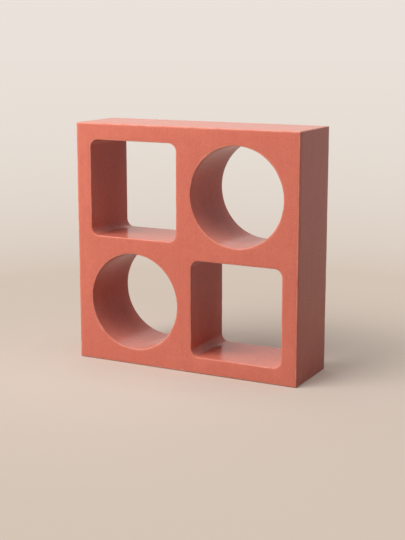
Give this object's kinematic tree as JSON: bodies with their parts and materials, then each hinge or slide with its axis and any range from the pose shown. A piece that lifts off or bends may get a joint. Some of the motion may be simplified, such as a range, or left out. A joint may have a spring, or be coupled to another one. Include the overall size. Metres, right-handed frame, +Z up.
{
  "type": "breeze block",
  "caption": "Square fired-clay screen block with round and rounded-square openings through its depth, for open screen walls that let air and light through.",
  "frame": {"origin": "middle of the bed face, which is the block's underside", "axes": "+Z up, +X to the right as seen from the front, +Y from the front face to the back face"},
  "size_m": [0.2, 0.06, 0.2],
  "materials": {
    "fired_clay": "satin"
  },
  "bodies": {
    "root": {"screen_block": "fired_clay"}
  },
  "joints": []
}
